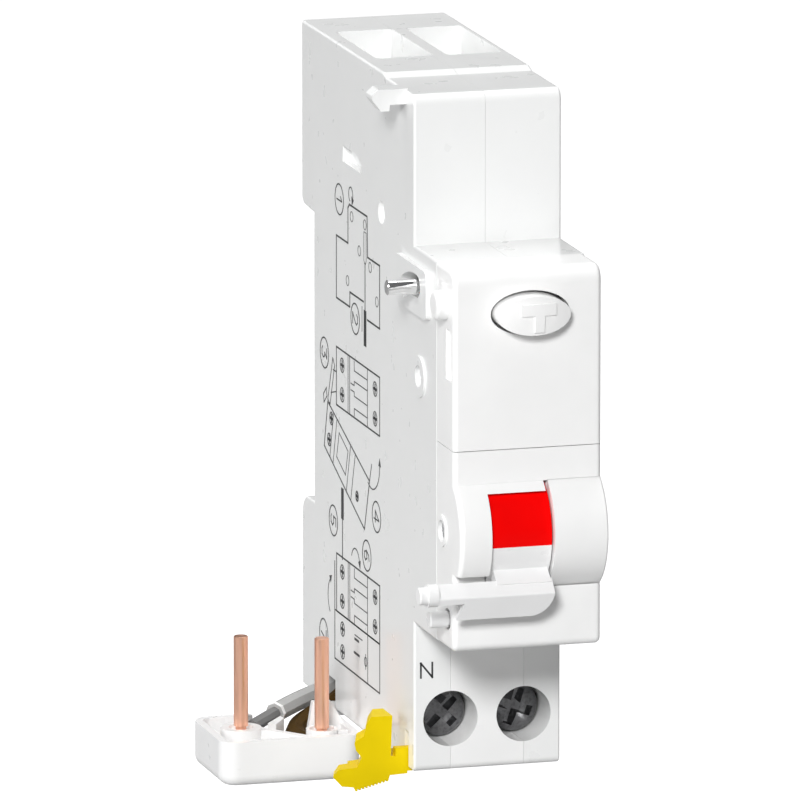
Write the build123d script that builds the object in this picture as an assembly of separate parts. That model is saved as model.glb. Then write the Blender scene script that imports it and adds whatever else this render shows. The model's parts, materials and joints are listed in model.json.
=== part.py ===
from build123d import *
import math
import os

# A residual current add-on module for a 35 mm rail, 18 mm wide, in millimetres.
# X runs to the right, -Y is the front and +Z is up. The origin is the middle of
# the face that seats on the rail. The breaker that it serves stands on its left.

# Driving dimensions of the case
module_width = 18.0
rear_y = 5.3
shoulder_y = -43.4
nose_y = -60.0
cover_back_y = -53.0
top_z = 40.9
top_front_z = 40.5
bottom_z = -40.8
nose_top_z = 22.6
nose_bottom_z = -22.7
recess_top_z = 18.3
recess_bottom_z = -17.2
seat_top_z = 16.4
seat_bottom_z = -15.4
wall = 1.4
seam = 0.1
shell_seam = 0.03
seam_x = -0.3
label_seam_z = 1.27

# Toggle, test button, trip lever and their axes
toggle_y = -55.5
toggle_z = -9.0
bulge_radius = 7.7
drum_radius = 7.0
slot_left_x = -5.2
slot_right_x = 2.4
cheek_depth = 0.5
axle_radius = 1.5
button_z = 17.38
button_half_width = 4.45
button_half_height = 2.3
button_gap = 0.36
trip_y = -45.9
trip_z = 7.5
trip_arm = 11.0
trip_rest_angle = 3.6
trip_pin_radius = 0.9
trip_pin_root_radius = 0.7
interlock_y = -57.6
interlock_z = -19.1
interlock_radius = 1.0
interlock_stem_radius = 0.8

# Terminals
screw_x = 4.5
screw_z = -34.55
screw_hole_radius = 3.35
chamber_back_y = -21.5
chamber_roof_z = -28.6
clamp_back_y = -21.8
clamp_front_y = -32.3
wire_bar_y = -28.5

# Connection tray, its pins and its lock
tray_left_x = -26.8
tray_right_x = -9.4
tray_front_y = -23.0
tray_back_y = -8.6
tray_bottom_z = -46.3
pin_radius = 0.87
pin_root_radius = 0.65
neutral_pin_x = -22.5
neutral_pin_y = -15.6
phase_pin_x = -13.5
phase_pin_y = -19.3
pin_top_z = -29.5
pin_step_z = -40.5
latch_front_y = -40.8
latch_back_y = -36.8
lead_radius = 1.25
neutral_wire_radius = 0.85

half_width = module_width / 2
inner_x = half_width - wall
running_gap = 0.05


def block(x0, x1, y0, y1, z0, z1):
    """A box between two corners."""
    middle = Pos((x0 + x1) / 2, (y0 + y1) / 2, (z0 + z1) / 2)
    return middle * Box(x1 - x0, y1 - y0, z1 - z0)


def rod_x(y, z, radius, x0, x1):
    """A round bar along X."""
    return Pos((x0 + x1) / 2, y, z) * Rot(0, 90, 0) * Cylinder(radius, x1 - x0)


def rod_y(x, z, radius, y0, y1):
    """A round bar along Y."""
    return Pos(x, (y0 + y1) / 2, z) * Rot(90, 0, 0) * Cylinder(radius, y1 - y0)


def rod_z(x, y, radius, z0, z1):
    """A round bar along Z."""
    return Pos(x, y, (z0 + z1) / 2) * Cylinder(radius, z1 - z0)


def outline(points, rounds=()):
    """A closed flat outline, with a radius on each corner that rounds names."""
    shape = make_face(Polyline(*points, close=True))
    for corner, radius in rounds:
        target = Vector(*points[corner])
        nearest = min(shape.vertices(), key=lambda v: (v.center() - target).length)
        shape = fillet(nearest, radius)
    return shape


def prism_x(shape, x0, x1):
    """A flat shape drawn in Y and Z, as long as x0 to x1."""
    return extrude(Plane.YZ.offset(x0) * shape, x1 - x0)


def prism_y(shape, y0, y1):
    """A flat shape drawn in X and Z, as long as y0 to y1."""
    front = Plane(origin=(0, y1, 0), x_dir=(1, 0, 0), z_dir=(0, -1, 0))
    return extrude(front * shape, y1 - y0)


def prism_z(shape, z0, z1):
    """A flat shape drawn in X and Y, as tall as z0 to z1."""
    return extrude(Plane.XY.offset(z0) * shape, z1 - z0)


def on_toggle(radius, angle):
    """The Y and Z of a point round the toggle axis; 0 degrees points to the front."""
    turn = math.radians(angle)
    return (toggle_y - radius * math.cos(turn), toggle_z + radius * math.sin(turn))


def on_trip(radius, angle):
    """The Y and Z of a point round the trip axis; 0 degrees points up, positive to the back."""
    turn = math.radians(angle)
    return (trip_y + radius * math.sin(turn), trip_z + radius * math.cos(turn))


def coil_spring(radius, wire_radius, length, turns):
    """A coil spring that stands on the origin along +Z."""
    line = Helix(pitch=(length - 2 * wire_radius) / turns, height=length - 2 * wire_radius, radius=radius)
    section = Plane(origin=line @ 0, z_dir=line % 0) * Circle(wire_radius)
    return Pos(0, 0, wire_radius) * sweep(section, path=line)


def tube_along(points, radii, section):
    """A flat section swept along straight runs that tangent arcs join."""
    path = FilletPolyline(*points, radius=radii)
    return sweep(Plane(origin=path @ 0, z_dir=path % 0) * section, path=path)


# ---------------------------------------------------------------- case


def case_outline():
    """The side view of the case behind the nose covers."""
    step_front_y = -31.8
    step_back_y = -30.1
    corner_rounds = [(1, 0.8), (6, 1.3), (10, 1.2), (13, 2.4)]
    return outline(
        [
            (rear_y, bottom_z),
            (shoulder_y, bottom_z),
            (shoulder_y, nose_bottom_z),
            (cover_back_y, nose_bottom_z),
            (cover_back_y, nose_top_z),
            (shoulder_y, nose_top_z),
            (shoulder_y, top_front_z),
            (step_front_y, top_front_z),
            (step_back_y, top_z),
            (rear_y, top_z),
            (rear_y, recess_top_z + 0.3),
            (0, recess_top_z),
            (0, recess_bottom_z),
            (rear_y, recess_bottom_z),
        ],
        corner_rounds,
    )


def top_pockets():
    """The two screw pockets in the top, cut to their floor."""
    floor_z = 33.6
    corner = 0.8
    cuts = []
    for x0, x1 in ((-7.3, -0.2), (1.4, 8.3)):
        mouth = outline(
            [(x0, -21.5), (x1, -21.5), (x1, -3.4), (x0, -3.4)],
            [(0, corner), (1, corner), (2, corner), (3, corner)],
        )
        cuts.append(prism_z(mouth, floor_z, top_z + 1))
    return cuts


def terminal_block():
    """The walls round the two clamps, and the sleeves that hold the screw heads."""
    sleeve_radius = 4.0
    sleeve_back_y = -36.5
    roof = block(-inner_x, inner_x, shoulder_y + 1, chamber_back_y + 1, chamber_roof_z, chamber_roof_z + 1.2)
    partition = block(-1.0, 1.0, shoulder_y + 1, chamber_back_y + 1, bottom_z + 1, chamber_roof_z)
    back = block(-inner_x, inner_x, chamber_back_y, chamber_back_y + 1, bottom_z + 1, chamber_roof_z)
    solid = roof + partition + back
    for side in (-1, 1):
        solid += rod_y(side * screw_x, screw_z, sleeve_radius, shoulder_y + 1, sleeve_back_y)
    return solid


def terminal_cuts():
    """The screw holes in front and the wire holes below."""
    head_back_y = -37.3
    wire_half_width = 2.3
    cuts = []
    for side in (-1, 1):
        x = side * screw_x
        cuts.append(rod_y(x, screw_z, screw_hole_radius, shoulder_y - 1, head_back_y))
        cuts.append(rod_y(x, screw_z, 2.2, head_back_y - 1, -36))
        cuts.append(block(x - wire_half_width, x + wire_half_width, -27.3, -22.7, bottom_z - 1, bottom_z + 2))
        cuts.append(block(x - 2.2, x + 2.2, wire_bar_y - 0.1, wire_bar_y + 1.1, chamber_roof_z - 1, chamber_roof_z + 2))
    return cuts


def left_wall_cuts():
    """The slots and recesses in the wall that faces the breaker."""
    outside = -half_width - 2
    cuts = [
        trip_slot(1.35, outside, -inner_x + 0.1),
        block(outside, -half_width + 1.0, -20.8, -12.8, 27.0, 28.9),
        rod_x(-29.5, 24.0, 1.4, outside, -half_width + 0.7),
        rod_x(trip_y, trip_z, 1.3, outside, -half_width + 0.3),
        rod_x(trip_y, trip_z, 1.2, outside, -inner_x + 1),
        block(outside, -4.4, -9.4, -0.9, bottom_z - 1, -37.2),
        block(outside, -1.3, -41.1, -39.5, bottom_z - 1, -38.1),
        block(outside, -6.7, -41.1, -39.5, bottom_z - 1, -36.4),
    ]
    return cuts


def trip_slot(half_slot, x0, x1):
    """The curved slot that the trip pin swings in, with round ends."""
    front_angle = -4.6
    back_angle = 24.5
    slot = rod_x(trip_y, trip_z, trip_arm + half_slot, x0, x1)
    slot -= rod_x(trip_y, trip_z, trip_arm - half_slot, x0, x1)
    reach = 2 * trip_arm
    sector = [(trip_y, trip_z), on_trip(reach, front_angle), on_trip(reach, back_angle)]
    slot &= prism_x(outline(sector), x0, x1)
    for angle in (front_angle, back_angle):
        end_y, end_z = on_trip(trip_arm, angle)
        slot += rod_x(end_y, end_z, half_slot, x0, x1)
    return slot


def left_wall_features():
    """The hook, the raised guide plate and the ring round the trip axle."""
    hook = prism_y(
        outline(
            [
                (-half_width + 0.2, 40.8),
                (-12.4, 40.8),
                (-13.2, 40.1),
                (-13.2, 39.65),
                (-12.1, 38.2),
                (-11.1, 38.2),
                (-11.0, 38.95),
                (-half_width + 0.2, 38.95),
            ],
            [(1, 0.4), (2, 0.25), (3, 0.3)],
        ),
        -40.2,
        -37.6,
    )
    plate = prism_x(
        outline([(-38.2, 15.0), (-50.6, 15.0), (-50.6, 20.8), (-38.2, 20.8)], [(1, 0.9), (2, 0.9)]),
        -half_width - 0.65,
        -half_width + 0.2,
    )
    ring = rod_x(trip_y, trip_z, 2.5, -half_width - 0.25, -half_width + 0.2)
    return hook + plate + ring


def rail_parts_of_case():
    """The lip over the rail, and the channel and spring post of the rail clip."""
    lip = block(-6, 6, 1.4, 3.6, recess_top_z - 1.7, recess_top_z + 1)
    channel_wall = block(-inner_x, inner_x, -0.6, 0.9, bottom_z + 0.2, recess_bottom_z + 0.6)
    return lip + channel_wall


def rail_reliefs():
    """The grooves that bound the face on the rail, behind the lip and behind the clip."""
    depth = 0.3
    side = half_width + 1
    return [
        block(-side, side, -depth, 0.05, seat_top_z, recess_top_z),
        block(-side, side, -depth, 0.05, recess_bottom_z, seat_bottom_z),
    ]


def whole_case():
    """The case with its cavity and openings, before it is parted into its shells."""
    side = case_outline()
    outer = prism_x(side, -half_width, half_width)
    ends = outer.faces().sort_by(Axis.X)
    outer = fillet(ends[0].edges() + ends[-1].edges(), 0.3)
    solid = outer - prism_x(offset(side, -wall), -inner_x, inner_x)
    solid -= block(-inner_x, inner_x, cover_back_y - 1, cover_back_y + 3, nose_bottom_z + wall, nose_top_z - wall)
    solid += block(-inner_x, inner_x, -23.2, -1.6, 32.4, top_z - 1)
    solid += terminal_block()
    solid += left_wall_features()
    solid += rail_parts_of_case()
    solid += rod_x(trip_y, trip_z, 2.4, 6.4, inner_x)
    solid -= rod_x(trip_y, trip_z, 1.2, 5, inner_x + 0.6)
    solid -= block(-6.2, 6.2, 0.9, rear_y + 1, bottom_z - 1, recess_bottom_z + 0.3)
    for cut in top_pockets() + terminal_cuts() + left_wall_cuts() + rail_reliefs():
        solid -= cut
    solid += block(0, 1.6, 0.5, 4.2, -36.8, -35.8)
    return solid


def case_shells():
    """The left shell, the right shell and the terminal frame between them."""
    case = whole_case()
    far = 100
    front_low = block(-screw_x, screw_x, -far, chamber_back_y + 2, -far, nose_bottom_z - 0.05)
    left_zone = block(-far, seam_x - shell_seam / 2, -far, far, -far, far)
    left_zone -= block(-screw_x - shell_seam / 2, screw_x, -far, chamber_back_y + 2, -far, nose_bottom_z)
    right_zone = block(seam_x + shell_seam / 2, far, -far, far, -far, far)
    right_zone -= block(-screw_x, screw_x + shell_seam / 2, -far, chamber_back_y + 2, -far, nose_bottom_z)
    middle_zone = block(
        -screw_x + shell_seam / 2, screw_x - shell_seam / 2, -far, chamber_back_y + 1.9, -far, nose_bottom_z - shell_seam
    )
    return case & left_zone, case & right_zone, case & middle_zone


# ---------------------------------------------------------------- nose covers


def cover_block(z0, z1, corner, radius):
    """One hollow nose cover between two heights, open behind."""
    points = [(cover_back_y, z0), (nose_y, z0), (nose_y, z1), (cover_back_y, z1)]
    solid = prism_x(outline(points, [(corner, radius)]), -half_width, half_width)
    seam_side_z = z1 if corner == 1 else z0
    ends = solid.faces().sort_by(Axis.X)
    edges = []
    for edge in ends[0].edges() + ends[-1].edges():
        middle = edge.center()
        if middle.Y < cover_back_y - 0.5 and abs(middle.Z - seam_side_z) > 0.5:
            edges.append(edge)
    return fillet(edges, 0.6)


def button_outline(grow):
    """The oval of the test button, grown all round."""
    return Pos(0.3, button_z) * Ellipse(button_half_width + grow, button_half_height + grow)


def upper_cover():
    """The upper nose cover with the oval sleeve of the test button."""
    z0 = label_seam_z + seam / 2
    sleeve_back_y = -56.4
    solid = cover_block(z0, nose_top_z, 2, 1.8)
    solid -= block(-inner_x, inner_x, nose_y + wall, 0, z0 - 1, nose_top_z - wall)
    solid += prism_y(button_outline(button_gap + 0.8), nose_y + wall, sleeve_back_y)
    solid -= prism_y(button_outline(button_gap), nose_y - 1, sleeve_back_y + 1)
    solid -= block(-half_width - 1, -half_width + 0.4, -59.3, -56.8, 9.45, 15.45)
    knob = rod_x(-56.6, 18.2, 1.75, -half_width - 1.5, -half_width + 0.1)
    solid += fillet(knob.edges().sort_by(Axis.X)[0], 0.5)
    return solid


def lower_cover():
    """The lower nose cover with the left cheek, the toggle opening and its ledge."""
    z1 = label_seam_z - seam / 2
    opening_bottom_z = -15.2
    opening_top_z = -2.7
    ledge_right_x = 1.9
    cheek_bottom_z = -13.3
    solid = cover_block(nose_bottom_z, z1, 1, 0.9)
    cheek = rod_x(toggle_y, toggle_z, bulge_radius, -half_width, slot_left_x)
    cheek = fillet(cheek.edges().sort_by(Axis.X)[0], 0.6)
    solid += cheek & block(-half_width, slot_left_x, nose_y - 9, nose_y + wall, cheek_bottom_z, 0)
    solid -= block(-inner_x, inner_x, nose_y + wall, 0, nose_bottom_z + wall, z1 + 1)
    solid -= rod_x(toggle_y, toggle_z, drum_radius + 0.2, slot_left_x, slot_right_x)
    recess = rod_x(toggle_y, toggle_z, bulge_radius + 0.12, slot_right_x, half_width + 1)
    solid -= recess & block(-20, 20, nose_y - 9, nose_y + cheek_depth + 0.05, -99, 99)
    solid -= block(slot_left_x, slot_right_x, nose_y - 9, nose_y + wall + 1, opening_bottom_z, opening_top_z)
    ledge = rod_x(toggle_y, toggle_z, bulge_radius, slot_left_x - 0.1, ledge_right_x)
    ledge -= rod_x(toggle_y, toggle_z, drum_radius + 0.2, slot_left_x - 1, ledge_right_x + 1)
    solid += ledge & block(-9, 9, -70, -57, opening_top_z - 1.0, opening_top_z + 0.1)
    solid += rod_x(toggle_y, toggle_z, 1.85, -half_width - 0.2, -half_width + 0.1)
    solid -= rod_x(toggle_y, toggle_z, axle_radius, -half_width + 0.3, half_width - 0.3)
    solid -= rod_x(toggle_y, toggle_z, 1.3, -half_width - 1, -half_width + 1)
    solid -= rod_x(interlock_y, interlock_z, interlock_radius + 0.3, -half_width - 1, -inner_x + 1)
    solid -= rod_x(interlock_y, interlock_z, 1.75, -inner_x, -1.8)
    web = block(-1.8, -0.8, nose_y + wall - 0.1, -55.0, nose_bottom_z + wall - 0.1, -16.6)
    solid += web - rod_x(interlock_y, interlock_z, interlock_stem_radius + running_gap, -3, 0)
    tab_hole = block(5.0 - running_gap, 6.5 + running_gap, nose_y - 1, nose_y + wall + 1, -10.05, -7.95)
    return solid - tab_hole


def right_cheek():
    """The separate right cheek beside the toggle opening, with its fixing tab."""
    left_x = slot_right_x + seam / 2
    solid = rod_x(toggle_y, toggle_z, bulge_radius, left_x, half_width)
    solid = fillet(solid.edges().sort_by(Axis.X)[-1], 0.3)
    solid -= rod_x(toggle_y, toggle_z, bulge_radius - 1.0, left_x + 0.9, half_width - 0.9)
    solid &= block(-9, half_width, nose_y - 9, nose_y + cheek_depth, -99, 99)
    return solid + block(5.0, 6.5, nose_y - 3.0, nose_y + wall + 0.4, -10, -8)


def test_button():
    """The domed oval button with a raised letter T, its flange and its stem."""
    front_y = -62.4
    dome_radius = 13.5
    letter_height = 0.22
    flange_front_y = -56.2
    flange_back_y = -55.4
    dome_centre = Pos(0.3, front_y + dome_radius, button_z)
    solid = prism_y(button_outline(0), front_y - 1, flange_back_y)
    solid &= dome_centre * Sphere(dome_radius)
    solid += prism_y(button_outline(0.85), flange_front_y, flange_back_y)
    solid += rod_y(0.3, button_z, 1.0, flange_back_y, -51.3)
    letter = outline(
        [
            (-1.45, 18.8),
            (2.8, 18.8),
            (2.8, 17.45),
            (1.32, 17.45),
            (1.32, 15.45),
            (0.17, 15.45),
            (0.17, 17.45),
            (-1.45, 17.45),
        ]
    )
    raised = prism_y(letter, front_y - 1, front_y + 2)
    return solid + (raised & dome_centre * Sphere(dome_radius + letter_height))


def contact_carrier():
    """The cross wall behind the button that seats its spring and the contact blade."""
    solid = block(-7.5, 7.5, -51.1, -49.9, 10.5, nose_top_z - wall - 0.05)
    solid += block(-1.2, 1.8, -50, -46.8, 10.5, 11.6)
    return solid - rod_y(0.3, button_z, 1.25, -52, -49)


def test_contact():
    """The bent spring strip that the button's stem closes."""
    return block(-0.7, 1.3, -49.6, -49.3, 11.65, 20) + block(-0.7, 1.3, -49.6, -47, 11.65, 11.95)


# ---------------------------------------------------------------- toggle


def toggle_sector(from_angle, to_angle, radius):
    """A wedge round the toggle axis, as long as the drum."""
    middle_angle = (from_angle + to_angle) / 2
    points = [(toggle_y, toggle_z)]
    for angle in (from_angle, middle_angle, to_angle):
        points.append(on_toggle(3 * radius, angle))
    return prism_x(outline(points), -20, 20)


def red_flag():
    """The coloured insert that shows in the opening when the toggle is down."""
    ring = rod_x(toggle_y, toggle_z, drum_radius, slot_left_x + 0.15, slot_right_x - 0.15)
    ring -= rod_x(toggle_y, toggle_z, drum_radius - 1.0, -20, 20)
    return ring & toggle_sector(-7.5, 76, drum_radius)


def lever_root():
    """The tenon between the drum and the lever bar."""
    down_angle = 38
    shape = Box(6.6, 3.9, 1.4)
    return Pos(-1.3, toggle_y, toggle_z) * Rot(down_angle, 0, 0) * Pos(0, -7.2, 0) * shape


def toggle_drum():
    """The drum that turns on the axle."""
    solid = rod_x(toggle_y, toggle_z, drum_radius, slot_left_x + 0.15, slot_right_x - 0.15)
    solid -= rod_x(toggle_y, toggle_z, axle_radius + running_gap, -20, 20)
    return solid - red_flag() - lever_root()


def toggle_lever():
    """The lever bar, with the peg that takes the breaker's own toggle along."""
    section = outline(
        [
            (-62.6, -13.7),
            (-64.0, -15.3),
            (-62.8, -18.15),
            (-62.2, -17.95),
            (-63.15, -15.6),
            (-61.8, -14.3),
        ],
        [(1, 0.25), (0, 0.2)],
    )
    left_x = -11.95
    front_view = outline(
        [(left_x, -13.0), (2.2, -13.0), (2.2, -18.2), (-9.5, -18.2), (-8.7, -16.05), (left_x, -16.05)],
        [(2, 2.9)],
    )
    bar = prism_x(section, left_x, 2.2) & prism_y(front_view, -70, -60)
    collar = rod_x(-62.75, -15.0, 1.35, -13.05, left_x + 0.1)
    peg = rod_x(-62.75, -15.0, 1.05, -14.1, left_x)
    peg = chamfer(peg.edges().sort_by(Axis.X)[0], 0.15)
    return bar + lever_root() + collar + peg


def interlock_peg():
    """The sprung peg under the lever, with the flange that keeps it in."""
    solid = rod_x(interlock_y, interlock_z, interlock_radius, -11.35, -9.1)
    solid = chamfer(solid.edges().sort_by(Axis.X)[0], 0.15)
    solid += rod_x(interlock_y, interlock_z, interlock_stem_radius, -9.1, -1.5)
    return solid + rod_x(interlock_y, interlock_z, 1.6, -7.3, -6.6)


# ---------------------------------------------------------------- trip mechanism


def link_x(start, end, radius, x0, x1):
    """A flat link with round ends between two points of Y and Z."""
    along = Vector(end[0] - start[0], end[1] - start[1])
    across = Vector(-along.Y, along.X).normalized() * radius
    corners = [
        (start[0] + across.X, start[1] + across.Y),
        (end[0] + across.X, end[1] + across.Y),
        (end[0] - across.X, end[1] - across.Y),
        (start[0] - across.X, start[1] - across.Y),
    ]
    solid = prism_x(outline(corners), x0, x1)
    for y, z in (start, end):
        solid += rod_x(y, z, radius, x0, x1)
    return solid


trip_pin_place = on_trip(trip_arm, -trip_rest_angle)
trip_pad_place = (-37.0, 12.5)


def trip_lever():
    """The three-armed lever that carries the trip pin."""
    hub = (trip_y, trip_z)
    x0, x1 = -7.3, -5.3
    solid = rod_x(trip_y, trip_z, 2.8, x0, -4.2)
    solid += link_x(hub, trip_pin_place, 1.6, x0, x1)
    solid += link_x(hub, trip_pad_place, 1.2, x0, x1)
    solid += link_x(hub, (-44.5, -3.0), 1.1, x0, x1)
    solid += rod_x(*trip_pad_place, 1.2, x0, 0)
    solid -= rod_x(trip_y, trip_z, 1.2 + running_gap, -20, 20)
    return solid - rod_x(*trip_pin_place, trip_pin_root_radius, -20, 20)


def trip_pin():
    """The polished steel pin that reaches into the breaker."""
    solid = rod_x(*trip_pin_place, trip_pin_radius, -13.3, -9.7)
    solid = chamfer(solid.edges().sort_by(Axis.X)[0], 0.12)
    return solid + rod_x(*trip_pin_place, trip_pin_root_radius, -9.7, -5.3)


relay_x = -1.5
relay_y = -37.0


def relay_frame():
    """The steel strap round the release coil, with its fixing tab."""
    solid = block(relay_x - 4.6, relay_x + 4.6, relay_y - 4.5, relay_y + 4.5, 25.0, 38.0)
    solid -= block(-20, 20, relay_y - 3.7, relay_y + 3.7, 26.0, 37.0)
    solid -= rod_z(relay_x, relay_y, 1.1, 20, 27)
    return solid + block(relay_x + 4.6, 6.1, relay_y + 2.0, relay_y + 4.0, 27.0, 29.0)


def relay_bobbin():
    """The bobbin of the release coil."""
    solid = rod_z(relay_x, relay_y, 3.5, 26.0, 26.7) + rod_z(relay_x, relay_y, 3.5, 36.3, 37.0)
    solid += rod_z(relay_x, relay_y, 1.7, 26.0, 37.0)
    return solid - rod_z(relay_x, relay_y, 1.15, 20, 40)


def relay_winding():
    """The copper winding of the release coil."""
    return rod_z(relay_x, relay_y, 3.3, 26.7, 36.3) - rod_z(relay_x, relay_y, 1.7, 20, 40)


def relay_plunger():
    """The plunger that drops on the trip lever's pad."""
    return rod_z(relay_x, relay_y, 0.9, 14.1, 34.0) + rod_z(relay_x, relay_y, 1.9, 16.6, 17.3)


# ---------------------------------------------------------------- current sensing

toroid_y = -15.5
toroid_z = 1.5


def toroid_ring(inner, outer, half_length):
    """A ring round X at the transformer's centre."""
    ring = rod_x(toroid_y, toroid_z, outer, -half_length, half_length)
    return ring - rod_x(toroid_y, toroid_z, inner, -20, 20)


def toroid_core():
    """The tape-wound ring core."""
    return toroid_ring(6.0, 9.5, 3.6)


def secondary_winding():
    """The taped secondary winding with its raised turns."""
    turns = 24
    hollow = toroid_ring(6.0, 9.5, 3.6)
    tape = toroid_ring(5.6, 9.9, 4.0) - hollow
    slabs = []
    for turn in range(turns):
        slab = Rot(turn * 360 / turns, 0, 0) * Pos(0, 0, 8) * Box(12, 0.7, 8)
        slabs.append(Pos(0, toroid_y, toroid_z) * slab)
    wires = (toroid_ring(5.2, 10.3, 4.4) - hollow) & Compound(children=slabs)
    return tape + wires


def wire_between(points, radii):
    """A round insulated conductor."""
    return tube_along(points, radii, Circle(1.1))


def neutral_conductor():
    """The neutral conductor, through the core and down to the left terminal."""
    return wire_between(
        [
            (-5.8, -2.7, -33.45),
            (-5.8, -2.7, -30.5),
            (-6.3, -8.0, -20.0),
            (-6.3, -14.0, toroid_z),
            (6.3, -14.0, toroid_z),
            (6.3, -16.5, -12.5),
            (-4.5, -24.0, -17.0),
            (-4.5, -28.0, -21.5),
            (-4.5, -28.0, -24.9),
        ],
        [3, 6, 1.8, 1.8, 1.8, 3, 2],
    )


def phase_conductor():
    """The phase conductor, through the core and down to the right terminal."""
    return wire_between(
        [
            (-5.8, -6.4, -33.45),
            (-5.8, -6.4, -30.5),
            (-6.3, -11.6, -20.0),
            (-6.3, -17.4, toroid_z),
            (6.3, -17.4, toroid_z),
            (6.3, -24.5, -14.0),
            (4.5, -28.0, -20.5),
            (4.5, -28.0, -24.9),
        ],
        [3, 6, 1.8, 1.8, 4, 2],
    )


def circuit_board():
    """The board on the right wall."""
    return block(6.2, 7.2, -41.0, -4.0, 14.2, 31.5)


def test_resistor():
    """The resistor of the test circuit, on bent leads."""
    solid = rod_y(4.6, 17.5, 1.1, -34, -27)
    for y0, y1 in ((-35.5, -34), (-27, -25.5)):
        solid += rod_y(4.6, 17.5, 0.3, y0, y1)
    for y in (-35.5, -25.5):
        solid += rod_x(y, 17.5, 0.3, 4.3, 6.2)
    return solid


def film_capacitor():
    """The capacitor beside the core."""
    return fillet(block(1.8, 6.15, -21.0, -13.0, 18.5, 26.5).edges(), 0.3)


# ---------------------------------------------------------------- terminals


def terminal_screw(side, slot_turn):
    """A clamp screw with a domed head and a cross recess."""
    x = side * screw_x
    head_front_y = -39.4
    dome_radius = 9.0
    slot_width = 1.2
    solid = rod_y(x, screw_z, screw_hole_radius - 0.2, head_front_y, -37.4)
    solid &= Pos(x, head_front_y + dome_radius, screw_z) * Sphere(dome_radius)
    solid = chamfer(solid.edges().sort_by(Axis.Y)[0], 0.25)
    solid += rod_y(x, screw_z, 1.95, -37.4, wire_bar_y - 0.05)
    for turn in (slot_turn, slot_turn + 90):
        solid -= Pos(x, head_front_y, screw_z) * Rot(0, turn, 0) * Box(4.6, 2.6, slot_width)
    return solid


def terminal_clamp(side):
    """The box clamp that the screw draws to the front."""
    x = side * screw_x
    half = 2.9
    solid = block(x - half, x + half, clamp_front_y, clamp_back_y, -38.6, -30.5)
    solid -= block(x - half + 0.65, x + half - 0.65, clamp_front_y + 1.4, clamp_back_y - 0.8, -40, -28)
    return solid - rod_y(x, screw_z, 1.95 + running_gap, -40, -30)


def wire_bar(side):
    """The fixed bar that the wire is clamped to."""
    x = side * screw_x
    return block(x - 2.1, x + 2.1, wire_bar_y, wire_bar_y + 1.0, -38.0, -24.95)


# ---------------------------------------------------------------- rail clip


def rail_clip():
    """The sliding clip under the rail, with the window of its spring."""
    solid = block(-6, 6, 1.2, 4.9, -40.3, -18.2)
    hook = outline([(1.2, -18.3), (1.2, -15.6), (2.6, -16.4), (4.9, -18.3)])
    solid += prism_x(hook, -5.5, 5.5)
    solid -= block(-1.7, 2.0, 0, 6, -37.3, -27.0)
    return solid - block(-2.5, 2.5, 3.4, 6, -40, -38.6)


# ---------------------------------------------------------------- connection tray


def connection_tray():
    """The shallow tray under the breaker that holds the two pins."""
    side_wall = 0.95
    rim_z = bottom_z
    solid = block(tray_left_x, tray_right_x, tray_front_y, tray_back_y, tray_bottom_z, rim_z)
    solid = fillet(solid.edges().filter_by(Axis.Z), 2.2)
    solid = fillet(solid.faces().sort_by(Axis.Z)[0].edges(), 1.3)
    cavity = block(
        tray_left_x + side_wall,
        tray_right_x - side_wall,
        tray_front_y + side_wall,
        tray_back_y - side_wall,
        tray_bottom_z + 1.0,
        rim_z + 1,
    )
    solid -= fillet(cavity.edges().filter_by(Axis.Z), 1.3)
    solid += rod_z(neutral_pin_x, neutral_pin_y, 2.45, tray_bottom_z + 0.9, -40.7)
    solid += rod_z(phase_pin_x, phase_pin_y, 1.9, tray_bottom_z + 0.9, -40.6)
    floor_z = tray_bottom_z + 0.9
    diagonal = [(-20.6, -16.2), (-20.0, -15.4), (-15.0, -21.9), (-15.9, -22.4)]
    solid += prism_z(outline(diagonal), floor_z, -40.9)
    angled_post = [(-19.0, -15.0), (-16.6, -11.8), (-16.4, -12.9), (-18.2, -15.8)]
    solid += prism_z(outline(angled_post), floor_z, -40.6)
    guard = [(-14.4, -41.6), (-13.8, -38.0), (-11.6, -38.0), (-9.9, -40.9), (-9.9, -41.6)]
    solid += prism_y(outline(guard), -16.4, -15.6)
    solid += block(-12.6, -10.2, -19.7, -18.9, floor_z, -41.0)
    solid += block(-13.9, -13.1, -22.4, -20.8, floor_z, -41.0)
    solid -= block(-19.4, -11.9, tray_back_y - 1.2, tray_back_y + 1, -44.3, -40)
    solid += block(-11.8, tray_right_x, tray_back_y - 0.8, tray_back_y, -43.0, -39.9)
    solid += block(tray_right_x - 0.1, -7.9, tray_back_y - 0.7, tray_back_y - 0.1, -41.6, -39.9)
    for x, y in ((neutral_pin_x, neutral_pin_y), (phase_pin_x, phase_pin_y)):
        solid -= rod_z(x, y, pin_root_radius, tray_bottom_z + 1.6, -30)
        solid -= rod_z(x, y, pin_radius + 0.6, -41.2, -30)
    return solid


def contact_pin(x, y):
    """One round copper pin."""
    solid = rod_z(x, y, pin_radius, pin_step_z, pin_top_z)
    solid = chamfer(solid.edges().sort_by(Axis.Z)[-1], 0.1)
    return solid + rod_z(x, y, pin_root_radius, tray_bottom_z + 1.6, pin_step_z)


def lead_section(radius):
    """The eight-sided section of a lead."""
    return RegularPolygon(radius, 8, rotation=22.5)


neutral_lead_route = [
    (-20.6, -13.7, -41.2),
    (-17.6, -10.4, -40.9),
    (-12.0, -4.5, -40.4),
    (-6.7, -2.7, -39.4),
    (-5.8, -2.7, -36.2),
    (-5.8, -2.7, -33.5),
]
phase_lead_route = [
    (-13.75, -17.36, -43.2),
    (-14.9, -13.2, -43.2),
    (-13.9, -8.4, -43.0),
    (-10.6, -6.7, -41.7),
    (-7.0, -6.5, -40.0),
    (-5.8, -6.4, -36.8),
    (-5.8, -6.4, -33.5),
]


neutral_bends = [5, 5, 2.0, 2.0]


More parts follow.
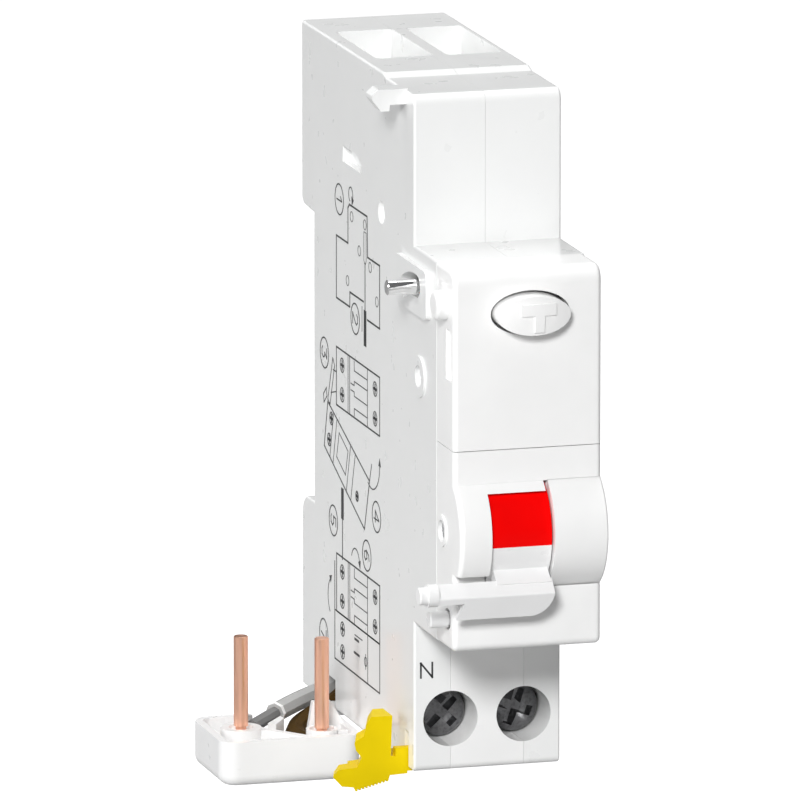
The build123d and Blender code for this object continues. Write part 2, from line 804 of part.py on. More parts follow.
def neutral_lead():
    """The thin grey lead from the neutral pin to the case."""
    return tube_along(neutral_lead_route, neutral_bends, lead_section(neutral_wire_radius))


def phase_lead():
    """The brown lead from the phase pin to the case."""
    return tube_along(phase_lead_route, [2.6, 3, 3, 2.0, 2.0], lead_section(lead_radius))


def neutral_sleeve():
    """The outer sleeve over the neutral lead, from just past its pin to the case."""
    start = Vector(*neutral_lead_route[1])
    end = Vector(*neutral_lead_route[2])
    mouth = start + (end - start).normalized() * 1.5
    route = [(mouth.X, mouth.Y, mouth.Z)] + neutral_lead_route[2:]
    ring = lead_section(lead_radius) - lead_section(neutral_wire_radius + 0.02)
    return tube_along(route, neutral_bends[1:], ring)


# ---------------------------------------------------------------- lock


def lock_latch():
    """The yellow slide that locks the module to the breaker."""
    side_x = -half_width - 0.05
    body = outline(
        [
            (-13.5, -34.4),
            (-10.9, -34.4),
            (-11.1, -39.3),
            (side_x, -39.3),
            (side_x, -41.5),
            (-11.2, -41.6),
            (-11.4, -42.3),
            (-15.4, -43.3),
            (-15.7, -42.8),
            (-17.1, -42.6),
            (-18.2, -41.4),
            (-17.6, -40.6),
            (-15.2, -40.4),
            (-14.7, -39.2),
            (-15.4, -38.3),
            (-15.6, -37.3),
            (-14.4, -36.7),
            (-14.1, -35.3),
        ],
        [(15, 0.4)],
    )
    solid = prism_y(body, latch_front_y, latch_back_y)
    front = Plane(origin=(0, latch_front_y, 0), x_dir=(1, 0, 0), z_dir=(0, -1, 0))
    draft = Vector(1.3, latch_back_y - latch_front_y, 0)
    solid &= extrude(front * body, amount=draft.length, dir=draft.normalized())
    solid -= block(-18.4, -15.3, latch_back_y - 1.2, latch_back_y + 1, -44, -40)
    teeth = 9
    pitch = 0.42
    for tooth in range(teeth):
        x = -11.7 - tooth * pitch
        z = -42.3 - tooth * pitch * 0.25
        solid -= Pos(x, (latch_front_y + latch_back_y) / 2, z) * Rot(0, 45, 0) * Box(0.22, 9, 0.22)
    stem = block(-10.5, -1.7, latch_front_y, -39.7, -41.2, -38.35)
    riser = block(-8.6, -6.9, latch_front_y, -39.7, -38.4, -36.6)
    return solid + stem + riser


# ---------------------------------------------------------------- springs and axles


def button_spring():
    """The return spring of the test button."""
    spring = coil_spring(1.7, 0.18, 4.2, 5)
    return Pos(0.3, -51.15, button_z) * Rot(90, 0, 0) * spring


def interlock_spring():
    """The spring behind the interlock peg's flange."""
    spring = coil_spring(1.4, 0.16, 4.6, 6)
    return Pos(-6.5, interlock_y, interlock_z) * Rot(0, 90, 0) * spring


def rail_clip_spring():
    """The spring that lifts the rail clip."""
    return Pos(0.5, 3.0, -35.7) * coil_spring(0.9, 0.22, 8.6, 9)


def relay_spring():
    """The spring that drives the release plunger."""
    return Pos(relay_x, relay_y, 17.4) * coil_spring(1.4, 0.18, 7.5, 8)


def toggle_spring():
    """The coil on the toggle axle."""
    return Pos(3.0, toggle_y, toggle_z) * Rot(0, 90, 0) * coil_spring(1.95, 0.25, 3.6, 6)


def toggle_axle():
    """The steel axle of the toggle."""
    return rod_x(toggle_y, toggle_z, axle_radius, -half_width + 0.4, half_width - 0.4)


def trip_axle():
    """The steel axle of the trip lever."""
    return rod_x(trip_y, trip_z, 1.2, -half_width + 0.35, inner_x + 0.5)


def all_parts():
    """Every node's name with its solid."""
    left, right, middle = case_shells()
    return {
        "left_housing": left,
        "right_housing": right,
        "terminal_frame": middle,
        "upper_cover": upper_cover(),
        "lower_cover": lower_cover(),
        "right_cheek": right_cheek(),
        "test_button": test_button(),
        "contact_carrier": contact_carrier(),
        "test_contact": test_contact(),
        "button_spring": button_spring(),
        "toggle_drum": toggle_drum(),
        "red_flag": red_flag(),
        "toggle_lever": toggle_lever(),
        "toggle_axle": toggle_axle(),
        "toggle_spring": toggle_spring(),
        "interlock_peg": interlock_peg(),
        "interlock_spring": interlock_spring(),
        "trip_lever": trip_lever(),
        "trip_pin": trip_pin(),
        "trip_axle": trip_axle(),
        "relay_frame": relay_frame(),
        "relay_bobbin": relay_bobbin(),
        "relay_winding": relay_winding(),
        "relay_plunger": relay_plunger(),
        "relay_spring": relay_spring(),
        "toroid_core": toroid_core(),
        "secondary_winding": secondary_winding(),
        "neutral_conductor": neutral_conductor(),
        "phase_conductor": phase_conductor(),
        "circuit_board": circuit_board(),
        "test_resistor": test_resistor(),
        "film_capacitor": film_capacitor(),
        "neutral_screw": terminal_screw(-1, 45),
        "phase_screw": terminal_screw(1, 20),
        "neutral_clamp": terminal_clamp(-1),
        "phase_clamp": terminal_clamp(1),
        "neutral_bar": wire_bar(-1),
        "phase_bar": wire_bar(1),
        "rail_clip": rail_clip(),
        "rail_clip_spring": rail_clip_spring(),
        "connection_tray": connection_tray(),
        "neutral_pin": contact_pin(neutral_pin_x, neutral_pin_y),
        "phase_pin": contact_pin(phase_pin_x, phase_pin_y),
        "neutral_lead": neutral_lead(),
        "phase_lead": phase_lead(),
        "neutral_sleeve": neutral_sleeve(),
        "lock_latch": lock_latch(),
    }


os.makedirs("parts", exist_ok=True)
for node, shape in all_parts().items():
    export_step(shape, f"parts/{node}.step")
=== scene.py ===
import json
import math

import bmesh
import bpy
from mathutils import Matrix, Vector


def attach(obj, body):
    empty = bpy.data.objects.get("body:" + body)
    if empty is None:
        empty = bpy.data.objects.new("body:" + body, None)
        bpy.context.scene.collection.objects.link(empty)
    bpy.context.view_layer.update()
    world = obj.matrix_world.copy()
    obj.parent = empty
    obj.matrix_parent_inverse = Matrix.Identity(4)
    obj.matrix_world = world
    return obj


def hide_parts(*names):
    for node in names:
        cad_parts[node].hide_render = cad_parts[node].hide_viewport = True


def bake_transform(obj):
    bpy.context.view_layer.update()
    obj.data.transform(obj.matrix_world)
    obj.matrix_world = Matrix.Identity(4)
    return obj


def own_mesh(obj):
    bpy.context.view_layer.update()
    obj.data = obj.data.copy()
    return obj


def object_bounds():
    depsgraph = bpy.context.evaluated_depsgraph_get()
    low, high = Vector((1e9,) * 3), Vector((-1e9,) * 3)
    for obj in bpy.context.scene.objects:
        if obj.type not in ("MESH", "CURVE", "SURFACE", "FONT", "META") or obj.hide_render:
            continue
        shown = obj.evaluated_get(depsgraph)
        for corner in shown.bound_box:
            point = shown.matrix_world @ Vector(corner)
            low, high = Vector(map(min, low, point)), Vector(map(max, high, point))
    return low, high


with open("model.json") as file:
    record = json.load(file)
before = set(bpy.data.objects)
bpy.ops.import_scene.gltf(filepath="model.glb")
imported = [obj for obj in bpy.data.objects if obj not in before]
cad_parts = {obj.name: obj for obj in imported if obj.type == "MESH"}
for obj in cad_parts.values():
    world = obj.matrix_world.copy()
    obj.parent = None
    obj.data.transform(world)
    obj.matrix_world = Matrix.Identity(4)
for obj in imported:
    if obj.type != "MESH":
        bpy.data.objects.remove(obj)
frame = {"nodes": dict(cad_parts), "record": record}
cad_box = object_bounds()
NODES = frame["nodes"]
MM = 0.001

# The photograph's camera: degrees round the object, focal length in millimetres, place in metres.
CAMERA_AZIMUTH = -16.055
CAMERA_ELEVATION = 11.963
CAMERA_SENSOR = 36
CAMERA_LENS = 658.7
CAMERA_PLACE = (-0.47579, -1.65948, 0.36057)

# The floor: millimetres below the CAD box, so that it clears the tray's whole travel, half its side
# in metres, and the strength of the glow that only the camera sees.
FLOOR_DROP = 13
FLOOR_HALF_SIDE = 6.0
FLOOR_GLOW = 0.85

# Places and sizes that part.py has too, in millimetres in the row frame.
SIDE_X = -9.0
FRONT_Y = -43.4
LEAD_RADIUS = 1.25
NEUTRAL_WIRE_RADIUS = 0.85
NEUTRAL_ROUTE = [
    (-20.6, -13.7, -41.2),
    (-17.6, -10.4, -40.9),
    (-12.0, -4.5, -40.4),
    (-6.7, -2.7, -39.4),
    (-5.8, -2.7, -36.2),
    (-5.8, -2.7, -33.5),
]
PHASE_ROUTE = [
    (-13.75, -17.36, -43.2),
    (-14.9, -13.2, -43.2),
    (-13.9, -8.4, -43.0),
    (-10.6, -6.7, -41.7),
    (-7.0, -6.5, -40.0),
    (-5.8, -6.4, -36.8),
    (-5.8, -6.4, -33.5),
]


def link(piece):
    """Puts an object into the scene."""
    bpy.context.scene.collection.objects.link(piece)
    return piece


# ---------------------------------------------------------------- camera, light and floor


def direction(azimuth, elevation):
    """The direction from the object to a place round it, in degrees; azimuth 0 is the front."""
    turn = math.radians(azimuth)
    rise = math.radians(elevation)
    return Vector((math.sin(turn) * math.cos(rise), -math.cos(turn) * math.cos(rise), math.sin(rise)))


def make_camera():
    """The camera at the photograph's angle."""
    data = bpy.data.cameras.new("camera")
    data.sensor_width = CAMERA_SENSOR
    data.lens = CAMERA_LENS
    data.clip_start = 0.1
    data.clip_end = 30
    camera = link(bpy.data.objects.new("camera", data))
    back = direction(CAMERA_AZIMUTH, CAMERA_ELEVATION)
    right = (-back).cross(Vector((0, 0, 1))).normalized()
    up = right.cross(-back)
    turn = Matrix((right, up, back)).transposed().to_4x4()
    camera.matrix_world = Matrix.Translation(CAMERA_PLACE) @ turn
    bpy.context.scene.camera = camera


def area_light(name, azimuth, elevation, distance, size, watts):
    """A square soft light, metres away from the middle of the object and looking at it."""
    data = bpy.data.lights.new(name, "AREA")
    data.size = size
    data.energy = watts
    lamp = link(bpy.data.objects.new(name, data))
    target = Vector((0, -0.025, 0))
    away = direction(azimuth, elevation)
    lamp.location = target + away * distance
    lamp.rotation_euler = away.to_track_quat("Z", "Y").to_euler()


def make_light():
    """A soft key light from the upper left, two weak lights above and beside, and a graded room."""
    area_light("key", -26, 26.5, 1.4, 0.3, 15.4)
    area_light("overhead", 180, 72, 0.5, 0.3, 1.7)
    area_light("side", -88, 15, 1.2, 0.5, 4.2)
    make_room()
    bpy.context.scene.view_settings.view_transform = "Standard"


def make_room():
    """A plain room that lights the object more from above and from the left."""
    world = bpy.data.worlds.new("room")
    world.use_nodes = True
    tree = world.node_tree
    background = tree.nodes["Background"]
    coordinates = tree.nodes.new("ShaderNodeTexCoord")
    parts = tree.nodes.new("ShaderNodeSeparateXYZ")
    tree.links.new(coordinates.outputs["Generated"], parts.inputs["Vector"])
    sideways = tree.nodes.new("ShaderNodeMapRange")
    upward = tree.nodes.new("ShaderNodeMapRange")
    limits = ((sideways, "X", -1.0, 1.0, 0.28, 0.05), (upward, "Z", -0.1, 0.7, 0.75, 1.15))
    for node, output, start, stop, low, high in limits:
        node.inputs["From Min"].default_value = start
        node.inputs["From Max"].default_value = stop
        node.inputs["To Min"].default_value = low
        node.inputs["To Max"].default_value = high
        tree.links.new(parts.outputs[output], node.inputs["Value"])
    product = tree.nodes.new("ShaderNodeMath")
    product.operation = "MULTIPLY"
    tree.links.new(sideways.outputs["Result"], product.inputs[0])
    tree.links.new(upward.outputs["Result"], product.inputs[1])
    tree.links.new(product.outputs["Value"], background.inputs["Strength"])
    background.inputs["Color"].default_value = (0.98, 0.99, 1.0, 1)
    bpy.context.scene.world = world


def floor_paint():
    """Grey floor paint with a glow that only the camera sees, so that the floor looks white."""
    nodes = Nodes("floor")
    cloud = nodes.noise(nodes.place(), 900.0)
    nodes.ramp(cloud, "Fac", [(0.3, (0.39, 0.39, 0.39)), (0.7, (0.41, 0.41, 0.41))])
    nodes.shader.inputs["Roughness"].default_value = 0.8
    nodes.shader.inputs["Emission Color"].default_value = (1, 1, 1, 1)
    path = nodes.add("LightPath")
    glow = nodes.add("Math")
    glow.operation = "MULTIPLY"
    glow.inputs[1].default_value = FLOOR_GLOW
    nodes.join(path, "Is Camera Ray", glow, 0)
    nodes.join(glow, "Value", nodes.shader, "Emission Strength")
    return nodes.material


def make_floor():
    """A plain pale floor, low enough for the tray when it slides down."""
    half = FLOOR_HALF_SIDE
    height = cad_box[0][2] - FLOOR_DROP * MM
    mesh = bpy.data.meshes.new("floor")
    corners = [(-half, -half, height), (half, -half, height), (half, half, height), (-half, half, height)]
    mesh.from_pydata(corners, [], [(0, 1, 2, 3)])
    floor = link(bpy.data.objects.new("floor", mesh))
    floor.data.materials.append(floor_paint())


# ---------------------------------------------------------------- materials


class Nodes:
    """A material's node tree, with short ways to add and join nodes."""

    def __init__(self, name):
        self.material = bpy.data.materials.new(name)
        self.material.use_nodes = True
        self.tree = self.material.node_tree
        self.shader = self.tree.nodes["Principled BSDF"]

    def add(self, kind, **inputs):
        node = self.tree.nodes.new("ShaderNode" + kind)
        for name, value in inputs.items():
            node.inputs[name.replace("_", " ")].default_value = value
        return node

    def join(self, source, output, target, socket):
        self.tree.links.new(source.outputs[output], target.inputs[socket])

    def place(self, stretch=(1, 1, 1)):
        """Coordinates in metres on the object, stretched along X, Y and Z."""
        coordinates = self.add("TexCoord")
        mapping = self.add("Mapping", Scale=stretch)
        self.join(coordinates, "Object", mapping, "Vector")
        return mapping

    def noise(self, place, size, detail=3.0, distortion=0.0):
        """Cloudy noise whose features are about that many millimetres."""
        node = self.add("TexNoise", Scale=1 / (size * MM), Detail=detail, Distortion=distortion)
        self.join(place, "Vector", node, "Vector")
        return node

    def ramp(self, source, output, stops, socket="Base Color"):
        """A colour ramp from a value to one of the shader's colours."""
        node = self.add("ValToRGB")
        while len(node.color_ramp.elements) < len(stops):
            node.color_ramp.elements.new(0.5)
        for element, (position, colour) in zip(node.color_ramp.elements, stops):
            element.position = position
            element.color = (*colour, 1)
        self.join(source, output, node, "Fac")
        self.join(node, "Color", self.shader, socket)
        return node

    def spread(self, source, output, low, high, socket="Roughness"):
        """A value spread between two limits on one of the shader's sockets."""
        node = self.add("MapRange", To_Min=low, To_Max=high)
        node.inputs["From Min"].default_value = 0.3
        node.inputs["From Max"].default_value = 0.7
        self.join(source, output, node, "Value")
        self.join(node, "Result", self.shader, socket)

    def bump(self, source, output, height, strength=1.0):
        """Surface relief of that many millimetres."""
        node = self.add("Bump", Strength=strength, Distance=height * MM)
        self.join(source, output, node, "Height")
        self.join(node, "Normal", self.shader, "Normal")


def shade(colour, factor):
    """A colour made lighter or darker."""
    return tuple(min(1.0, part * factor) for part in colour)


def moulded(name, colour, roughness, mottle=0.02, grain=0.0012, grain_size=0.35, coat=0.0, shine=0.5):
    """Moulded plastic: nearly even colour, uneven gloss and a fine grain, which zero leaves out."""
    nodes = Nodes(name)
    place = nodes.place()
    cloud = nodes.noise(place, 7.0)
    stops = [(0.3, shade(colour, 1 - mottle)), (0.7, shade(colour, 1 + mottle))]
    nodes.ramp(cloud, "Fac", stops)
    nodes.spread(nodes.noise(place, 3.0), "Fac", roughness * 0.9, roughness * 1.1)
    if grain:
        nodes.bump(nodes.noise(place, grain_size, 2.0), "Fac", grain)
    nodes.shader.inputs["Coat Weight"].default_value = coat
    nodes.shader.inputs["Coat Roughness"].default_value = 0.04
    nodes.shader.inputs["Specular IOR Level"].default_value = shine
    return nodes.material


def bare_metal(name, colour, roughness, streak=(1, 1, 1), mottle=0.1, relief=0.002, size=0.6):
    """Metal with drawn streaks, patches of tarnish and uneven gloss."""
    nodes = Nodes(name)
    place = nodes.place(streak)
    lines = nodes.noise(place, size, 4.0, 0.3)
    stops = [
        (0.3, shade(colour, 1 - 1.6 * mottle)),
        (0.5, colour),
        (0.75, shade(colour, 1 + mottle)),
    ]
    nodes.ramp(lines, "Fac", stops)
    nodes.spread(nodes.noise(place, 2 * size), "Fac", roughness * 0.8, roughness * 1.25)
    nodes.bump(lines, "Fac", relief)
    nodes.shader.inputs["Metallic"].default_value = 1.0
    return nodes.material


def paint_nodes():
    """Gives every CAD node its finish."""
    finishes = {
        "case": moulded("case_plastic", (0.88, 0.885, 0.88), 0.3, mottle=0.008, grain=0, coat=0.5),
        "front": moulded("front_plastic", (0.92, 0.92, 0.915), 0.34, coat=0.1),
        "white_parts": moulded("white_plastic", (0.88, 0.88, 0.88), 0.3, coat=0.1),
        # Inner plastic darkened to near black so that the inside of the trip slot looks shaded: painted shade
        # on top of the part's own dark colour.
        "inner_plastic": moulded("inner_plastic", (0.05, 0.05, 0.052), 0.5, mottle=0.1),
        "red_insert": moulded("red_plastic", (0.9, 0.0012, 0.0012), 0.3, mottle=0.04, shine=0.06),
        "steel": bare_metal("zinc_steel", (0.62, 0.63, 0.64), 0.3),
        "spring_steel": bare_metal("spring_wire", (0.5, 0.5, 0.52), 0.3, streak=(1, 1, 0.3)),
        "polished_steel": bare_metal(
            "polished_steel", (0.86, 0.86, 0.86), 0.09, streak=(0.15, 1, 1), mottle=0.04
        ),
        "copper": bare_metal("bare_copper", (1.0, 0.57, 0.41), 0.36, streak=(1, 1, 0.12), mottle=0.09),
        "core": bare_metal("core_strip", (0.2, 0.2, 0.21), 0.5, streak=(0.2, 1, 1)),
        "grey_insulation": moulded("grey_insulation", (0.16, 0.16, 0.16), 0.34, mottle=0.12, grain_size=0.6),
        "brown_insulation": moulded(
            "brown_insulation", (0.06, 0.032, 0.006), 0.5, mottle=0.15, grain_size=0.6, shine=0.08
        ),
        "board": moulded("solder_mask", (0.03, 0.16, 0.06), 0.3, mottle=0.15),
        "resistor": moulded("resistor_lacquer", (0.42, 0.31, 0.15), 0.35, mottle=0.1),
        "capacitor": moulded("capacitor_lacquer", (0.5, 0.05, 0.02), 0.2, mottle=0.1),
        "dark_screw": bare_metal(
            "blackened_steel", (0.17, 0.17, 0.175), 0.12, mottle=0.2, relief=0.0005, size=0.4
        ),
        "sleeve": moulded("grey_sleeve", (0.4, 0.4, 0.395), 0.34, mottle=0.08, grain_size=0.6),
        "black_plastic": moulded("black_plastic", (0.02, 0.02, 0.02), 0.35, mottle=0.2),
        "yellow_latch": moulded("yellow_plastic", (0.78, 0.58, 0.002), 0.42, mottle=0.06, shine=0.08),
    }
    slots = {part["node"]: part["material_slot"] for part in frame["record"]["subparts"]}
    for node, piece in NODES.items():
        piece.data.materials.clear()
        piece.data.materials.append(finishes[slots[node]])
    return finishes


# ---------------------------------------------------------------- printed marks on the case


class Ink:
    """Thin printed strokes on a flat wall, drawn in millimetres across it."""

    thickness = 0.03
    sunk = 0.01

    def __init__(self, name, body, slot, place, material):
        self.name = name
        self.body = body
        self.slot = slot
        self.place = place
        self.material = material
        self.mesh = bmesh.new()

    def prism(self, corners):
        """A thin closed slab on the wall with that outline, counter-clockwise."""
        low = [self.mesh.verts.new(self.place(u, v, -self.sunk)) for u, v in corners]
        high = [self.mesh.verts.new(self.place(u, v, self.thickness)) for u, v in corners]
        self.mesh.faces.new(low[::-1])
        self.mesh.faces.new(high)
        for i in range(len(corners)):
            j = (i + 1) % len(corners)
            self.mesh.faces.new((low[i], low[j], high[j], high[i]))

    def line(self, start, end, width=0.22):
        """One straight stroke with square ends."""
        start = Vector(start)
        end = Vector(end)
        along = (end - start).normalized() * width / 2
        across = Vector((-along.y, along.x))
        start = start - along
        end = end + along
        self.prism([start - across, end - across, end + across, start + across])

    def path(self, points, width=0.22, close=False):
        """Straight strokes from point to point."""
        ends = points[1:] + points[:1] if close else points[1:]
        for start, end in zip(points, ends):
            self.line(start, end, width)

    def arc(self, centre, radius, start=0, stop=360, width=0.2):
        """A curved stroke, in degrees."""
        steps = max(6, round(abs(stop - start) / 12))
        inner = radius - width / 2
        outer = radius + width / 2
        for step in range(steps):
            first = math.radians(start + (stop - start) * step / steps)
            second = math.radians(start + (stop - start) * (step + 1) / steps)
            corners = []
            for turn, reach in ((first, inner), (first, outer), (second, outer), (second, inner)):
                corners.append((centre[0] + reach * math.cos(turn), centre[1] + reach * math.sin(turn)))
            self.prism(corners)

    def screw(self, centre, radius=0.85):
        """A screw head with a cross slot."""
        u, v = centre
        self.arc(centre, radius, width=0.16)
        arm = radius * 0.55
        self.line((u - arm, v), (u + arm, v), 0.34)
        self.line((u, v - arm), (u, v + arm), 0.34)

    def arrow(self, centre, radius, start, stop, width=0.16):
        """A curved arrow."""
        self.arc(centre, radius, start, stop, width)
        turn = math.radians(stop)
        tip = Vector((centre[0] + radius * math.cos(turn), centre[1] + radius * math.sin(turn)))
        along = Vector((-math.sin(turn), math.cos(turn))) * (1 if stop > start else -1)
        across = Vector((-along.y, along.x))
        self.prism([tip - across * 0.5, tip + along * 1.0, tip + across * 0.5])

    def driver(self, u, top, bottom, handle_up):
        """A screwdriver: a thin blade and a dark ribbed handle."""
        length = top - bottom
        handle = length * 0.42
        if handle_up:
            blade_end, handle_start, handle_end = bottom, top - handle, top
        else:
            blade_end, handle_start, handle_end = top, bottom + handle, bottom
        self.line((u, blade_end), (u, handle_start), 0.22)
        for offset in (-0.42, -0.14, 0.14, 0.42):
            self.line((u + offset, handle_start), (u + offset, handle_end), 0.2)

    def done(self):
        """Turns the strokes into one piece that rides on its body."""
        bmesh.ops.recalc_face_normals(self.mesh, faces=self.mesh.faces)
        mesh = bpy.data.meshes.new(self.name)
        self.mesh.to_mesh(mesh)
        self.mesh.free()
        piece = link(bpy.data.objects.new(self.name, mesh))
        piece.data.materials.append(self.material)
        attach(piece, self.body)


def on_side(u, v, height):
    """A point on the left wall: u to the front and v up, in millimetres."""
    return Vector((SIDE_X - height, -u, v)) * MM


def on_front(u, v, height):
    """A point on the lower front: u to the right and v up, in millimetres."""
    return Vector((u, FRONT_Y - height, v)) * MM


# Each digit is one stroke in a box 2 wide and 3 high.
DIGITS = {
    1: [(0.4, 2.3), (1.1, 3.0), (1.1, 0.0)],
    2: [(0.1, 2.4), (0.5, 2.95), (1.4, 2.95), (1.8, 2.3), (1.6, 1.7), (0.1, 0.0), (1.9, 0.0)],
    3: [(0.1, 2.95), (1.7, 2.95), (0.9, 1.75), (1.6, 1.5), (1.8, 0.8), (1.4, 0.1), (0.5, 0.0), (0.1, 0.4)],
    4: [(1.4, 0.0), (1.4, 3.0), (0.0, 0.8), (1.9, 0.8)],
    5: [(1.7, 3.0), (0.4, 3.0), (0.2, 1.6), (1.3, 1.7), (1.8, 1.0), (1.4, 0.15), (0.5, 0.0), (0.1, 0.3)],
    6: [(1.6, 2.9), (0.7, 2.6), (0.15, 1.3), (0.5, 0.1), (1.4, 0.1), (1.8, 0.8), (1.4, 1.6), (0.3, 1.3)],
    7: [(0.1, 3.0), (1.8, 3.0), (0.8, 0.0)],
}


def numbered(ink, digit, u, v):
    """A ringed number, turned a quarter so that it reads downwards."""
    scale = 0.72
    ink.arc((u, v), 1.85, width=0.18)
    points = [(u + (y - 1.5) * scale, v - (x - 0.95) * scale) for x, y in DIGITS[digit]]
    ink.path(points, 0.17)


def module_plan(ink, top):
    """The front of a two-pole module, laid on its side, with its screws and lever."""
    left, right = 10.0, 28.8
    bottom = top - 7.1
    ink.path([(left, top), (right, top), (right, bottom), (left, bottom)], 0.2, close=True)
    for u in (15.1, 15.8, 23.5):
        ink.line((u, top), (u, bottom), 0.14)
    for v in (top - 1.8, top - 5.4):
        ink.screw((12.5, v))
        ink.screw((26.8, v))
    ink.path([(23.5, top - 1.4), (17.8, top - 1.4), (17.8, top - 0.3)], 0.13)
    ink.path([(23.5, top - 2.7), (17.8, top - 2.7), (17.8, top - 3.2), (16.3, top - 3.2)], 0.13)
    ink.path([(23.5, top - 4.5), (17.8, top - 4.5), (17.8, top - 4.0), (16.3, top - 4.0)], 0.13)
    ink.path([(23.5, top - 6.0), (17.8, top - 6.0), (17.8, top - 6.9)], 0.13)


def profile_drawing(ink):
    """The side view of a module, with its fixing holes and a screwdriver."""
    outline = [
        (10.0, 17.5),
        (15.1, 17.5),
        (15.1, 21.8),
        (15.7, 22.3),
        (23.4, 22.3),
        (23.6, 17.4),
        (28.8, 17.4),
        (28.8, 9.8),
        (23.5, 9.8),
    ]
    ink.path(outline, 0.22)
    ink.path([(10.0, 17.5), (10.0, 9.9), (15.9, 9.9), (15.9, 11.7), (21.8, 11.7)], 0.22)
    for centre in ((16.7, 21.0), (22.4, 21.1), (20.0, 17.5), (14.9, 12.9), (24.7, 16.4), (27.6, 12.8)):
        ink.arc(centre, 0.6, width=0.1)
    holder = [(22.0, 20.2), (22.0, 16.8), (22.3, 16.4), (22.7, 16.4), (23.0, 16.8), (23.0, 20.2)]
    ink.path(holder, 0.1, close=True)
    ink.driver(22.5, 16.4, 6.5, handle_up=False)
    ink.line((21.2, 11.0), (21.2, 8.0), 0.1)
    ink.arrow((16.3, 23.6), 0.9, 250, -20, 0.14)


def tilting_drawing(ink):
    """A module that tilts off its rail, with an arrow."""
    corner = Vector((22.2, -15.9))
    top = Vector((24.4, -9.6))
    far = Vector((4.6, -9.3))
    back = Vector((6.2, -3.6))
    ink.path([corner, top, back, far], 0.2, close=True)
    long_way = far - corner
    short_way = top - corner
    for share in (0.34, 0.45, 0.78, 0.86):
        ink.line(corner + long_way * share, top + (back - top) * share, 0.13)
    for across in (0.28, 0.72):
        ink.screw(corner + long_way * 0.91 + short_way * across, 0.75)
    ink.screw(corner + long_way * 0.22 + short_way * 0.3, 0.6)
    shares = ((0.5, 0.25), (0.72, 0.25), (0.72, 0.75), (0.5, 0.75))
    window = [corner + long_way * along + short_way * across for along, across in shares]
    ink.path(window, 0.13, close=True)
    ink.path([(8.4, 2.2), (6.2, -3.3), (7.2, -3.7), (9.2, 1.4)], 0.15, close=True)
    ink.path([(4.3, -3.0), (5.6, -2.0), (5.8, -3.0), (4.5, -4.0)], 0.15, close=True)
    ink.line((7.6, -2.2), (10.0, -1.6), 0.15)
    ink.line((8.6, 0.8), (10.0, 0.8), 0.15)
    ink.arrow((25.4, -6.9), 3.4, 240, 360, 0.16)
    ink.line((24.4, -9.6), (25.3, -7.4), 0.16)


def joined_drawing(ink):
    """The module and its add-on side by side, wired, with screwdriver and arrows."""
    top = -21.4
    module_plan(ink, top)
    left, right, bottom = 9.2, 28.8, -34.5
    ink.path([(left, -22.6), (left, bottom), (right, bottom), (right, top)], 0.2)
    ink.line((left, -28.5), (right, -28.5), 0.16)
    for v in (-30.2, -33.0):
        ink.screw((12.6, v))
    ink.line((23.6, -28.5), (23.6, bottom), 0.14)
    ink.arc((22.7, -32.0), 0.55, width=0.12)
    ink.line((22.7, -31.1), (22.7, -32.9), 0.12)
    ink.line((18.0, -29.7), (21.2, -29.7), 0.13)
    ink.line((18.0, -30.2), (19.6, -30.2), 0.3)
    ink.line((17.7, -31.9), (19.9, -31.9), 0.3)
    ink.driver(12.6, -13.0, -21.6, handle_up=True)
    ink.arrow((18.3, -20.9), 1.8, 160, 20, 0.15)
    ink.arrow((8.8, -27.2), 2.6, 230, 130, 0.15)


def side_legend(material):
    """The printed fitting steps on the wall that faces the breaker."""
    ink = Ink("side_legend", "module", "black_plastic", on_side, material)
    profile_drawing(ink)
    module_plan(ink, 3.9)
    tilting_drawing(ink)
    joined_drawing(ink)
    places = ((11.3, 22.1), (18.2, 8.9), (4.7, 2.1), (27.4, -13.3), (8.6, -17.7), (23.2, -18.9), (4.3, -32.6))
    for number, (u, v) in enumerate(places, start=1):
        numbered(ink, number, u, v)
    ink.done()


def terminal_letter(material):
    """The neutral terminal's plain capital letter, printed on the lower front."""
    ink = Ink("terminal_letter", "module", "black_plastic", on_front, material)
    left, right, bottom, top = -8.15, -6.75, -29.4, -27.65
    ink.path([(left, bottom), (left, top), (right, bottom), (right, top)], 0.22)
    ink.done()


# ---------------------------------------------------------------- leads and springs


# The drawn leads' radius, as a share of their CAD tubes' radius.
INSIDE_CAD = 0.97
# Where the sleeve starts on its first run, and its rim there, in millimetres.
SLEEVE_START = 1.5
RIM_START = 0.05
RIM_END = 0.5
RIM_PROUD = 0.08


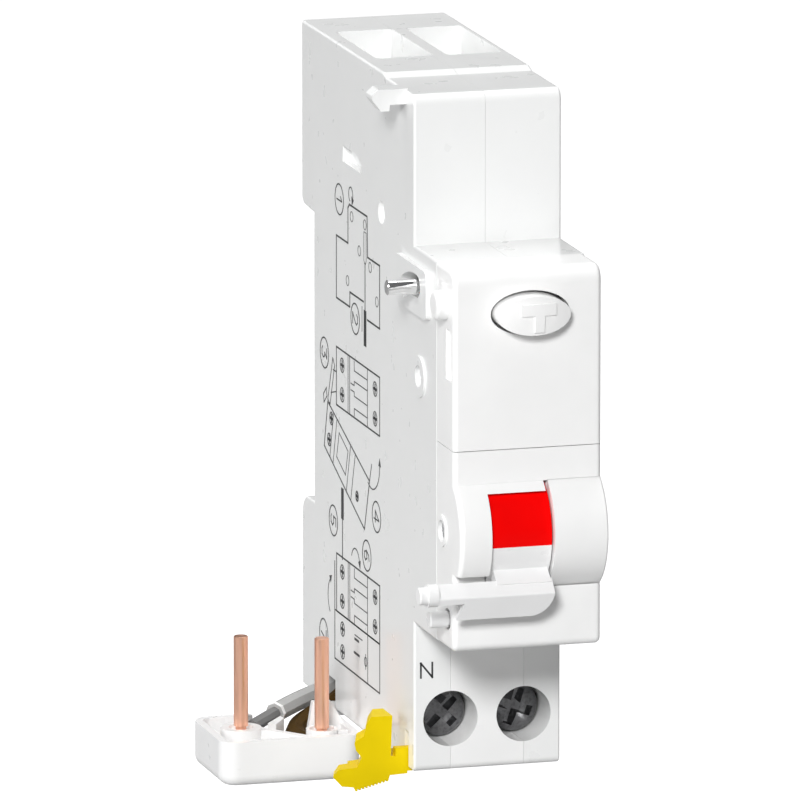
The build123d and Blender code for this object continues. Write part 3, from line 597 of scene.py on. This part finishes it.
def lead(name, route, radius, slot, material, fixed, carried):
    """An eight-sided lead or sleeve along its route, built as one still mesh."""
    data = bpy.data.curves.new(name, "CURVE")
    data.dimensions = "3D"
    data.bevel_mode = "ROUND"
    data.bevel_depth = radius * MM * INSIDE_CAD
    data.bevel_resolution = 2
    data.resolution_u = 8
    data.use_fill_caps = True
    spline = data.splines.new("NURBS")
    spline.points.add(len(route) - 1)
    for point, place in zip(spline.points, route):
        point.co = (*(Vector(place) * MM), 1)
    spline.order_u = min(3, len(route))
    spline.use_endpoint_u = True
    spline.use_smooth = False
    curve = link(bpy.data.objects.new(name + "_line", data))
    bpy.context.view_layer.update()
    mesh = bpy.data.meshes.new_from_object(curve.evaluated_get(bpy.context.evaluated_depsgraph_get()))
    bpy.data.objects.remove(curve)
    piece = link(bpy.data.objects.new(name + "_jacket", mesh))
    piece.data.materials.clear()
    piece.data.materials.append(material)
    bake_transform(piece)
    return piece


def make_leads(finishes):
    """The brown lead, and the thin grey lead in its outer sleeve."""
    brown = lead(
        "phase_lead",
        PHASE_ROUTE,
        LEAD_RADIUS,
        "brown_insulation",
        finishes["brown_insulation"],
        PHASE_ROUTE[-2],
        PHASE_ROUTE[2],
    )
    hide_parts("phase_lead")
    ends = (NEUTRAL_ROUTE[-2], NEUTRAL_ROUTE[2])
    grey = finishes["grey_insulation"]
    wire = lead("neutral_lead", NEUTRAL_ROUTE, NEUTRAL_WIRE_RADIUS, "grey_insulation", grey, *ends)
    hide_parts("neutral_lead")
    start = Vector(NEUTRAL_ROUTE[1])
    along = (Vector(NEUTRAL_ROUTE[2]) - start).normalized()
    mouth = start + along * SLEEVE_START
    route = [mouth] + NEUTRAL_ROUTE[2:]
    sleeve = lead("neutral_sleeve", route, LEAD_RADIUS, "sleeve", finishes["sleeve"], *ends)
    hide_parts("neutral_sleeve")
    rim = [mouth + along * RIM_START, mouth + along * RIM_END]
    lead("sleeve_rim", rim, LEAD_RADIUS + RIM_PROUD, "white_parts", finishes["white_parts"], *ends)


def moving_spring(node, material):
    """A spring that stands in for its CAD node and rides on the module."""
    piece = link(bpy.data.objects.new(node + "_coil", NODES[node].data.copy()))
    piece.data.materials.clear()
    piece.data.materials.append(material)
    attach(piece, "module")
    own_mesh(piece)
    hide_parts(node)


def make_springs(material):
    """The springs that a joint shortens."""
    moving_spring("button_spring", material)
    moving_spring("interlock_spring", material)
    moving_spring("rail_clip_spring", material)


# ---------------------------------------------------------------- the scene

make_camera()
make_light()
finishes = paint_nodes()
make_floor()
ink_material = moulded("printing_ink", (0.035, 0.036, 0.038), 0.45, mottle=0.25, grain=0.001)
side_legend(ink_material)
terminal_letter(ink_material)
make_leads(finishes)
make_springs(finishes["spring_steel"])
